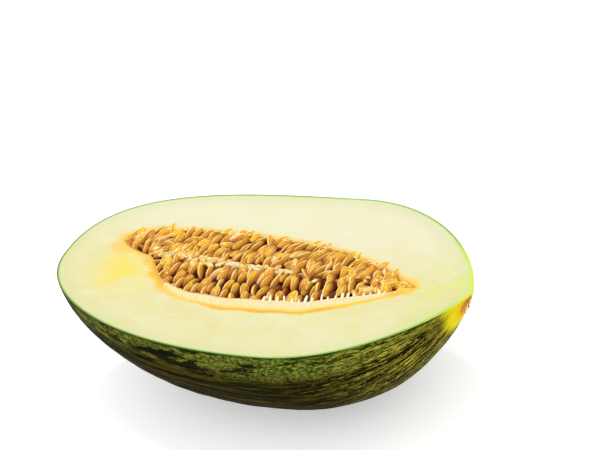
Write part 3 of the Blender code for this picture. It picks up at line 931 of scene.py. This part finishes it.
def make_body():
    """Rind, cut face and cavity wall as one closed surface."""
    grid = rind_grid()
    inner = np.arange((STATIONS - 1) * (AROUND + 1)).reshape(STATIONS - 1, AROUND + 1)
    left, right = inner.size, inner.size + 1
    points = [grid[1:-1].reshape(-1, 3), grid[:1, 0], grid[-1:, 0]]
    faces = rind_faces(inner.tolist(), left, right)
    rind_count = len(faces)

    # The rim of the cut, along the far side to the stalk and back along the near side
    rim = [*inner[:, 0].tolist(), right, *inner[::-1, -1].tolist(), left]
    rim_points = np.concatenate(points)[rim]
    turn = np.linspace(0, math.pi, STATIONS + 1)
    angle = np.concatenate([math.pi - turn[1:-1], [0], turn[:0:-1] - math.pi])
    core = cavity_outline(angle)
    core_points = placed(core, CUT_Z)
    rings = [*cut_rings(rim_points, core_points), *wall_rings(core, core_points)]
    numbers = [rim, *numbered(left + 2, len(rings) * len(rim), len(rim))]
    faces += [*skin_faces(numbers), tuple(numbers[-1][::-1])]
    points = np.concatenate([*points, *rings])

    rim_mm = distance_mm(points, rim_points)
    rim_mm[: left + 2] = 0
    below = np.maximum(CUT_Z - points[:, 2], 0)
    core_mm = np.where(below > 0.01 * MM, 0, distance_mm(points, core_points))
    around = np.zeros(len(points))
    side = np.linspace(-math.pi / 2, math.pi / 2, AROUND + 1)
    around[:left] = np.tile(side * MEAN_RADIUS, STATIONS - 1)
    face_materials = [0] * rind_count + [1] * (len(faces) - rind_count)
    body = new_piece(
        "melon_body", points, faces, [rind_material(), flesh_material()],
        face_materials, {"rim_mm": rim_mm, "core_mm": core_mm, "around": around},
    )
    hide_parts("melon_half")


def distance_mm(points, loop):
    """Each point's level distance to the nearest point of a loop."""
    nearest = np.empty(len(points))
    block = 4000
    for start in range(0, len(points), block):
        away = points[start : start + block, None, :2] - loop[None, :, :2]
        nearest[start : start + block] = np.sqrt((away**2).sum(-1).min(1))
    return nearest / MM


def rim_drop(angle):
    """How far the pulp's edge lies below the cut: little in front, more at the back."""
    return BAND_DROP + (FAR_RIM_DROP - BAND_DROP) * smooth(0.5 + 2.2 * np.sin(angle))


def cavity_loop():
    """The cavity's edge in the cut face as one dense loop of points."""
    return placed(cavity_outline(np.linspace(-math.pi, math.pi, 720, endpoint=False)), CUT_Z)


def pulp_rings():
    """Rings of points, out along the underside and then in over the uneven bed."""
    # Turned a little, so that no point lies right on a tip of the cavity
    angle = np.linspace(-math.pi, math.pi, BED_AROUND, endpoint=False) + 1e-4
    outline, depth = cavity_outline(angle, GAP), CAVITY_DEPTH - GAP
    rim = rim_drop(angle)
    reach = np.sqrt(1 - (rim / depth) ** 2)
    for step in range(BED_BOTTOM_RINGS):
        share = math.sin(math.pi / 2 * (step + 1) / (BED_BOTTOM_RINGS + 1))
        yield bowl(outline, share * reach, depth)
    for step in range(BED_RINGS):
        share = math.cos(math.pi / 2 * step / BED_RINGS)
        ring = bowl(outline, share * reach, depth)
        inner = smooth((1 - share) / 0.10)
        drop = rim + (pulp_drop(ring[:, 0], ring[:, 1] - SHIFT_Y) - rim) * inner
        rough = wobble(ring, 2.4 * MM, 3) + 0.6 * wobble(ring, 1.1 * MM, 4)
        quiet = np.clip((drop - BAND_DROP) / (2 * MM), 0.10, 1)
        ring[:, 2] = CUT_Z - drop + PULP_LUMPS * rough * quiet * inner
        yield ring


def make_pulp():
    """The pulp that the seeds sit in: wall side below, uneven wet bed above."""
    points = np.concatenate(list(pulp_rings()))
    faces = closed_faces(0, len(points), BED_AROUND)
    x, y = points[:, 0], points[:, 1] - SHIFT_Y
    near, _ = cavity_edges(x)
    width = np.maximum(band_edge_y(x) - near, 0.01 * MM)
    band = np.clip((y - near) / width, 0, 2)
    band = np.where(x < BAND_LEFT_X + 4 * MM, 2, band)
    fibre = smooth(1.3 - np.abs(y - septum_y(x)) / (4.5 * MM))
    fibre *= smooth((28 * MM - x) / (12 * MM)) * smooth((x + 38 * MM) / (8 * MM))
    edge = distance_mm(points, cavity_loop())
    new_piece(
        "pulp_bed", points, faces, [pulp_material()],
        values={"band": band, "fibre": fibre, "edge_mm": edge},
    )


def seed_shape():
    """One seed's points, and the margin, along and across kept on them: a blunt almond."""
    along = 0.5 - 0.5 * np.cos(math.pi * np.arange(SEED_STEPS + 1) / SEED_STEPS)[:, None]
    turn = 2 * math.pi * np.arange(SEED_SIDES) / SEED_SIDES
    across, up = np.cos(turn), np.sin(turn)
    offset, out = 2 * along - 1, np.abs(across)
    width = np.maximum(1 - np.abs(offset) ** (2 + 0.7 * along), 0) ** 0.62
    width *= 0.88 + 0.16 * along
    groove = 1 - 0.20 * np.exp(-(((out - 0.66) / 0.14) ** 2))
    thick = np.copysign(np.abs(up) ** 0.38, up) * width**0.5 * groove
    margin = np.maximum(smooth((out - 0.84) / 0.14), smooth((along - 0.93) / 0.05))
    grids = np.broadcast_arrays(offset, across * width, thick, margin, along, across)
    values = np.stack(grids, -1)
    values[..., :3] *= np.array((SEED_LENGTH, SEED_WIDTH, SEED_THICKNESS)) / 2

    # Each tip is one point, all margin
    values[[0, -1], :, 3] = 1
    values[[0, -1], :, 5] = 0
    ball = ball_points(values)
    return ball[:, :3], *ball[:, 3:].T


def seed_rows():
    """Each row of seeds: first and last X, Y at a station, heading, least depth, and rise.

    Millimetres and degrees. The upper rows come last and lie on the ones before them. A seed
    stays at least the depth below the cut, and may rise above it by the last number.
    """

    def front(share, later_share):
        def row_y(x):
            part = share + (later_share - share) * smooth((x - 12 * MM) / (12 * MM))
            return band_edge_y(x) + part * (septum_y(x) - band_edge_y(x))

        return row_y

    def back(share):
        return lambda x: septum_y(x) + share * (cavity_edges(x)[1] - septum_y(x))

    def left_edge(x):
        return cavity_edges(x)[0] + 4.5 * MM

    return (
        (-58, 78, front(0.32, 0.50), 92, 4.2, 0),
        (-60, 78, front(0.56, 0.80), 85, 3.4, 0),
        (14, 78, front(0.40, 0.40), 84, 3.0, 0),
        (-88, 78, back(0.30), 70, 4.4, 0),
        (-92, 80, back(0.60), 70, 4.0, 0),
        (-90, 78, back(0.84), 64, 3.6, 0),
        (-46, 40, front(0.10, 0.14), 94, 1.2, 0),
        (-48, 14, front(0.32, 0.32), 92, 0, 0),
        (32, 80, front(0.42, 0.50), 98, 1.6, 0),
        (80, 90, middle_y, 20, 1.0, 0),
        (-75, -50, left_edge, 64, 0, 0),
        (-62, 22, front(0.80, 0.80), 86, 1.0, 0),
        (-66, 79, front(0.64, 0.66), 88, 0, 0),
        (-90, -34, back(0.03), 72, 1.3, 0),
        (20, 76, back(0.06), 74, 0.4, 0.2),
        (-84, 76, back(0.20), 72, 1.6, 0),
        (-88, 76, back(0.48), 66, 1.4, 0),
        (-86, 74, back(0.76), 62, 1.2, 0),
        (-94, 80, back(0.32), 68, 0, 0.4),
        (-97, 80, back(0.62), 64, 0, 0.8),
        (-94, 80, back(0.91), 60, 0, 1),
    )


class Pile:
    """Heights of the pulp and of the seeds laid so far, on a grid, for laying more on them."""

    STEP = 0.35 * MM
    SPREAD = 8  # steps within which a seed's top counts as near

    def __init__(self):
        self.x = np.arange(CAVITY_LEFT_X - 12 * MM, CAVITY_RIGHT_X + 12 * MM, self.STEP)
        self.y = np.arange(-50 * MM, 50 * MM, self.STEP)
        x, y = np.meshgrid(self.x, self.y - SHIFT_Y, indexing="ij")
        near, far = cavity_edges(x)
        inside = (y > near) & (y < far) & (x > CAVITY_LEFT_X) & (x < CAVITY_RIGHT_X)
        self.height = np.where(inside, CUT_Z - pulp_drop(x, y), CUT_Z)
        self.outside = ~inside

    def rest(self, x, y, turn, size, depth, proud):
        """The height at which a seed comes to rest, and the patch of the pile that it covers."""
        half = np.array((SEED_LENGTH, SEED_WIDTH, SEED_THICKNESS)) / 2 * size
        shape = np.array(turn) @ np.diag(half**-2) @ np.array(turn).T
        reach = SEED_LENGTH / 2
        i = np.searchsorted(self.x, (x - reach, x + reach))
        j = np.searchsorted(self.y, (y - reach, y + reach))
        patch = (slice(*i), slice(*j))
        dx, dy = np.meshgrid(self.x[patch[0]] - x, self.y[patch[1]] - y, indexing="ij")
        slope = shape[0, 2] * dx + shape[1, 2] * dy
        level = shape[0, 0] * dx**2 + 2 * shape[0, 1] * dx * dy + shape[1, 1] * dy**2 - 1
        inside = slope**2 - shape[2, 2] * level
        root = np.sqrt(np.maximum(inside, 0))
        under, over = (-slope - root) / shape[2, 2], (-slope + root) / shape[2, 2]
        covered = inside > 0
        top = over[covered].max()
        on_pile = np.percentile((self.height[patch] - under)[covered], 86)
        height = max(on_pile, CUT_Z - depth - SEED_TOP_DROP - top)
        height = min(height, CUT_Z + proud - SEED_TOP_DROP - top)
        return height, patch, covered, over

    def lay(self, x, y, turns, size, depth, proud):
        """Lays a seed at the lowest-lying of the turns, and returns that turn and its height."""
        rests = [self.rest(x, y, turn, size, depth, proud) for turn in turns]
        best = min(range(len(turns)), key=lambda k: rests[k][0])
        height, patch, covered, over = rests[best]
        top = np.where(covered, height + over, 0)
        self.height[patch] = np.maximum(self.height[patch], top)
        return turns[best], height

    def sunk_mm(self, points):
        """How far points lie under the tops of the seeds around them."""
        ceiling = np.where(self.outside, CUT_Z - 2.5 * MM, self.height)
        moves = range(-self.SPREAD, self.SPREAD + 1)
        for gather, axis in ((np.max, 0), (np.max, 1), (np.mean, 0), (np.mean, 1)):
            ceiling = gather([np.roll(ceiling, move, axis) for move in moves], axis=0)
        i = np.clip(np.searchsorted(self.x, points[:, 0]), 0, len(self.x) - 1)
        j = np.clip(np.searchsorted(self.y, points[:, 1]), 0, len(self.y) - 1)
        return (ceiling[i, j] - points[:, 2]) / MM


def seed_turn(turn, rise, side):
    """A turning matrix from a heading, a rise of the tip and a roll, in degrees."""
    return (
        Matrix.Rotation(math.radians(turn), 3, "Z")
        @ Matrix.Rotation(-math.radians(rise), 3, "Y")
        @ Matrix.Rotation(math.radians(side), 3, "X")
    )


def seed_places():
    """Each seed's spot, the turns it may lie at, how far under the cut it stays, and how proud."""
    for number, (first, last, row_y, heading, depth, proud) in enumerate(seed_rows()):
        draw = random.Random(11 + number)
        buried = depth > 1
        pitch = SEED_PITCH * (BURIED_PITCH if buried else 1)
        count = round((last - first) * MM / pitch)
        for step in range(count + 1):
            x = (first + (last - first) * step / count) * MM
            x += draw.uniform(-SEED_JITTER_X, SEED_JITTER_X)
            y = float(row_y(x)) + draw.uniform(-SEED_JITTER_Y, SEED_JITTER_Y)
            stray = float(smooth((x - STRAY_X) / STRAY_REACH))
            lean = SWAY * noise.noise(Vector((x / (11 * MM), heading, 0)))
            end_on = draw.random() < END_ON * stray
            lean += draw.uniform(-34, 34) * stray
            if depth < 1 and draw.random() < CROSSED:
                lean += draw.choice((-52, -40, 36))
            turns = []
            for attempt in range(SEED_TURNS):
                turn = heading + lean + draw.uniform(-20, 20)
                rise = draw.uniform(-16, 18)
                side = 34 + 70 * noise.noise(Vector((x / (8 * MM), heading, 9)))
                side += draw.uniform(-20, 20)
                if end_on:
                    turn, rise = draw.uniform(100, 150), draw.uniform(-50, -20)
                turns.append(seed_turn(turn, rise, side))
            under = (depth + draw.uniform(0.0, 3.0) * (1 - stray / 2)) * MM
            yield x, y + SHIFT_Y, turns, under, proud * MM


def make_seeds():
    """Every seed, laid one on another from the bottom up, as one piece."""
    shape, margins, alongs, acrosses = seed_shape()
    draw = random.Random(23)
    pile = Pile()
    points, faces, tints = [], [], []
    for x, y, turns, depth, proud in seed_places():
        stubby = float(smooth((x - STUBBY_X) / STUBBY_REACH))
        size = draw.uniform(0.86, 1.06) * np.array((1 - 0.28 * stubby, 1, 1 + 0.6 * stubby))
        turn, height = pile.lay(x, y, turns, size, depth, proud)
        own = shape * size * (1, draw.uniform(0.88, 1.08), draw.uniform(0.85, 1.15))
        bend = draw.uniform(-0.5, 0.8) * MM
        own[:, 2] -= bend * (own[:, 0] / (SEED_LENGTH / 2)) ** 2
        ball = ball_faces(len(points) * len(shape), SEED_STEPS, SEED_SIDES)
        faces += [face[::-1] for face in ball]
        points.append(own @ np.array(turn).T + (x, y, height))
        tints.append(draw.random())
    count = len(points)
    points = np.concatenate(points)
    values = {
        "tint": np.repeat(tints, len(shape)),
        "margin": np.tile(margins, count),
        "along": np.tile(alongs, count),
        "across": np.tile(acrosses, count),
        # How far under the seeds around them, for the seeds' painted shade
        "sunk_mm": pile.sunk_mm(points),
    }
    seeds = new_piece("seeds", points, faces, [seed_material()], values=values)
    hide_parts("seed_mass")


def tube(start, path, radii):
    """A closed tube's points and faces along a path, with a radius at each of its points."""
    along = np.gradient(path, axis=0)
    along /= np.linalg.norm(along, axis=1, keepdims=True)
    side = np.cross(along, (0.31, 0.17, 0.93))
    side /= np.linalg.norm(side, axis=1, keepdims=True)
    other = np.cross(along, side)
    turn = np.linspace(0, 2 * math.pi, TUBE_SIDES, endpoint=False)[None, :, None]
    ring = np.cos(turn) * side[:, None] + np.sin(turn) * other[:, None]
    points = (path[:, None] + ring * radii[:, None, None]).reshape(-1, 3)
    return points, closed_faces(start, len(points), TUBE_SIDES)


def make_tubes(name, paths, material):
    """Tubes along several paths, each with its radii, as one piece."""
    points, faces = [], []
    for path, radii in paths:
        own, own_faces = tube(sum(map(len, points)), path, radii)
        points.append(own)
        faces += own_faces
    new_piece(name, np.concatenate(points), faces, [material])


def make_teeth():
    """The white stubs of the threads that held the front row, along the band's inner edge."""
    draw = random.Random(5)
    root, drop = 1.4 * MM, 0.75 * MM
    share = np.linspace(0, 1, 9)
    paths = []
    x = 13 * MM
    while x < 82 * MM:
        y = float(band_edge_y(x)) + SHIFT_Y
        short = float(smooth((x - 45 * MM) / (35 * MM)))
        length = draw.uniform(3.4, 7.6) * MM * (1 - 0.5 * short)
        lean, sink = draw.uniform(-0.55, -0.25), draw.uniform(0.05, 0.30)
        radius = draw.uniform(0.65, 1.05) * MM
        path = (
            x + lean * length * share,
            y - root + (length + root) * share,
            CUT_Z - drop - sink * length * share**1.6,
        )
        radii = radius * (1 - share**3) ** 0.5 * (0.75 + 0.25 * share) + 0.02 * MM
        paths.append((np.stack(path, -1), radii))
        x += draw.uniform(2.8, 5.0) * MM
    make_tubes("seed_threads", paths, thread_material(TOOTH_COLOURS))


def make_strands():
    """Soft wet fibres that lie along the septum between the two lobes."""
    draw = random.Random(8)
    count = 34
    share = np.linspace(0, 1, 13)
    to_end = np.abs(2 * share - 1)
    paths = []
    for number in range(count):
        x = draw.uniform(-27, 15) * MM
        off = max(-2.2, min(2.0, draw.gauss(-0.3, 1.2))) * MM
        heading = math.radians(draw.uniform(-9, 5))
        length = draw.uniform(7, 15) * MM
        bow = draw.uniform(-0.8, 0.8) * MM
        radius = draw.uniform(0.6, 1.1) * MM
        x = x + math.cos(heading) * length * (share - 0.5)
        side = off + math.sin(heading) * length * (share - 0.5)
        y = septum_y(x) + side + bow * np.sin(math.pi * share)
        sink = pulp_drop(x, y) + (0.45 + 0.5 * to_end) * radius
        path = np.stack((x, y + SHIFT_Y, CUT_Z - sink), -1)
        paths.append((path, radius * (1 - 0.75 * to_end**3)))
    make_tubes("pulp_strands", paths, thread_material(STRAND_COLOURS))


# The lumps are counted through: in the septum up to the first number, then along the far edge
JELLY_IN_SEPTUM = 48
JELLY_BEFORE_TIP = 88
JELLY_LUMPS = 100


def jelly_place(draw, number):
    """One lump's middle, radius and stretch: in the septum, along the far edge, or at the tip."""
    x = draw.uniform(-80, -28) * MM if number % 6 else draw.uniform(-28, 40) * MM
    y = float(septum_y(x)) + draw.gauss(0, 2.0) * MM
    radius = draw.uniform(1.2, 2.6) * MM
    stretch = (draw.uniform(1.0, 1.7), draw.uniform(0.7, 1.1), draw.uniform(0.4, 0.65))
    height = CUT_Z - float(pulp_drop(x, y)) + draw.uniform(-0.4, 0.6) * MM
    height = max(height, CUT_Z - draw.uniform(1.0, 2.2) * MM)
    if number >= JELLY_BEFORE_TIP:
        x = draw.uniform(83, 96) * MM
        y = float(middle_y(x)) + draw.uniform(-0.8, 0.8) * MM
        radius = draw.uniform(0.9, 1.7) * MM
        height = CUT_Z - draw.uniform(0.4, 0.9) * MM
    elif number >= JELLY_IN_SEPTUM:
        x = draw.uniform(-70, 78) * MM
        y = float(cavity_edges(x)[1]) - draw.uniform(-0.3, 1.0) * MM
        radius = draw.uniform(0.5, 1.1) * MM
        height = CUT_Z - draw.uniform(0.1, 0.5) * MM
    return (x, y + SHIFT_Y, height), radius, stretch


def make_jelly():
    """Small clear lumps of jelly in the septum and round the edge of the seeds."""
    draw = random.Random(17)
    steps, sides = 9, 12
    tilt = math.pi * np.arange(steps + 1)[:, None] / steps
    turn = 2 * math.pi * np.arange(sides) / sides
    level = np.sin(tilt)
    grid = np.broadcast_arrays(level * np.cos(turn), level * np.sin(turn), np.cos(tilt))
    ball = ball_points(np.stack(grid, -1))
    points, faces = [], []
    for number in range(JELLY_LUMPS):
        middle, radius, stretch = jelly_place(draw, number)
        turned = np.array(Matrix.Rotation(draw.uniform(0, math.pi), 3, "Z"))
        lump = [1 + 0.22 * noise.noise(Vector(spot * 1.3 + (number, 0, 0))) for spot in ball]
        points.append(middle + (ball * stretch) @ turned.T * radius * np.array(lump)[:, None])
        faces += ball_faces(number * len(ball), steps, sides)
    new_piece("jelly_lumps", np.concatenate(points), faces, [jelly_material()])


def make_scar():
    """The stalk's scar: a low uneven disc of cork in its recess."""
    rings, sides = 16, 48
    share = np.minimum(np.arange(rings + 2) / rings, 1)[:, None, None]
    turn = 2 * math.pi * np.arange(sides)[:, None] / sides
    level = np.array((0, 1, 0))
    out = np.cos(turn) * level + np.sin(turn) * np.cross(SCAR_AXIS, level)
    spots = STUB_RADIUS * share * (1 + 0.04 * np.sin(3 * turn + 1)) * out
    rough = wobble(spots.reshape(-1, 3), 0.9 * MM, 0).reshape(rings + 2, sides, 1)
    dimple = 0.5 * MM * np.exp(-((share / 0.3) ** 2))
    rise = STUB_RISE * (1 - 0.45 * share**6) - dimple + 0.25 * MM * rough * (1 - share**8)
    points = SCAR_PLACE + spots + SCAR_AXIS * rise

    # The last ring is the foot of the disc's side
    points[-1] = SCAR_PLACE + STUB_RADIUS * out - SCAR_AXIS * SCAR_DEPTH
    numbers = numbered(0, (rings + 2) * sides, sides)
    faces = [*skin_faces(numbers), tuple(numbers[-1])]
    scar = new_piece(
        "stalk_scar", points.reshape(-1, 3), faces, [scar_material()],
        values={"from_middle": np.repeat(share, sides)},
    )
    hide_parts("stalk_stub")


def make_floor():
    """A plain white floor, just under the half's small flat."""
    bpy.ops.mesh.primitive_plane_add(size=6, location=(0, 0, -0.2 * MM))
    floor = bpy.context.object
    floor.name = "floor"
    paper = Shade("white_paper")
    paper.colour = (0.88, 0.88, 0.88)
    paper.set(Roughness=0.9, Emission_Color=(1, 1, 1), Emission_Strength=0.40)
    floor.data.materials.append(paper.done())


def make_light():
    """An even white room, a soft key light, a small light for sparkle, and a weak fill."""
    world = bpy.data.worlds.new("soft_room")
    world.use_nodes = True
    room = world.node_tree.nodes["Background"].inputs
    room["Color"].default_value = (1, 1, 1, 1)
    room["Strength"].default_value = 0.98
    bpy.context.scene.world = world
    add_light("key_light", (-0.14, 0.12, 1.20), 0.24, 2.8)
    add_light("spark_light", (-0.30, 0.55, 1.00), 0.05, 1.4)
    add_light("fill_light", (0.7, -0.8, 0.9), 0.7, 0.8)


def add_light(name, place, size, power):
    lamp = bpy.data.lights.new(name, "AREA")
    lamp.size = size
    lamp.energy = power
    light = bpy.data.objects.new(name, lamp)
    bpy.context.scene.collection.objects.link(light)
    light.location = place
    light.rotation_euler = (-Vector(place)).to_track_quat("-Z", "Y").to_euler()


def make_camera():
    """The camera at the photograph's angle."""
    camera = bpy.data.cameras.new("camera")
    camera.lens = CAMERA_LENS
    camera.sensor_width = 36
    view = bpy.data.objects.new("camera", camera)
    bpy.context.scene.collection.objects.link(view)
    back = CAMERA_RIGHT.cross(CAMERA_UP)
    turn = Matrix((CAMERA_RIGHT, CAMERA_UP, back)).transposed().to_4x4()
    x, y, z = CAMERA_PLACE
    view.matrix_world = Matrix.Translation((x, y + SHIFT_Y, z + CUT_Z)) @ turn
    bpy.context.scene.camera = view


bpy.context.scene.view_settings.view_transform = "Standard"
make_floor()
make_light()
make_camera()
make_body()
make_pulp()
make_seeds()
make_teeth()
make_strands()
make_jelly()
make_scar()
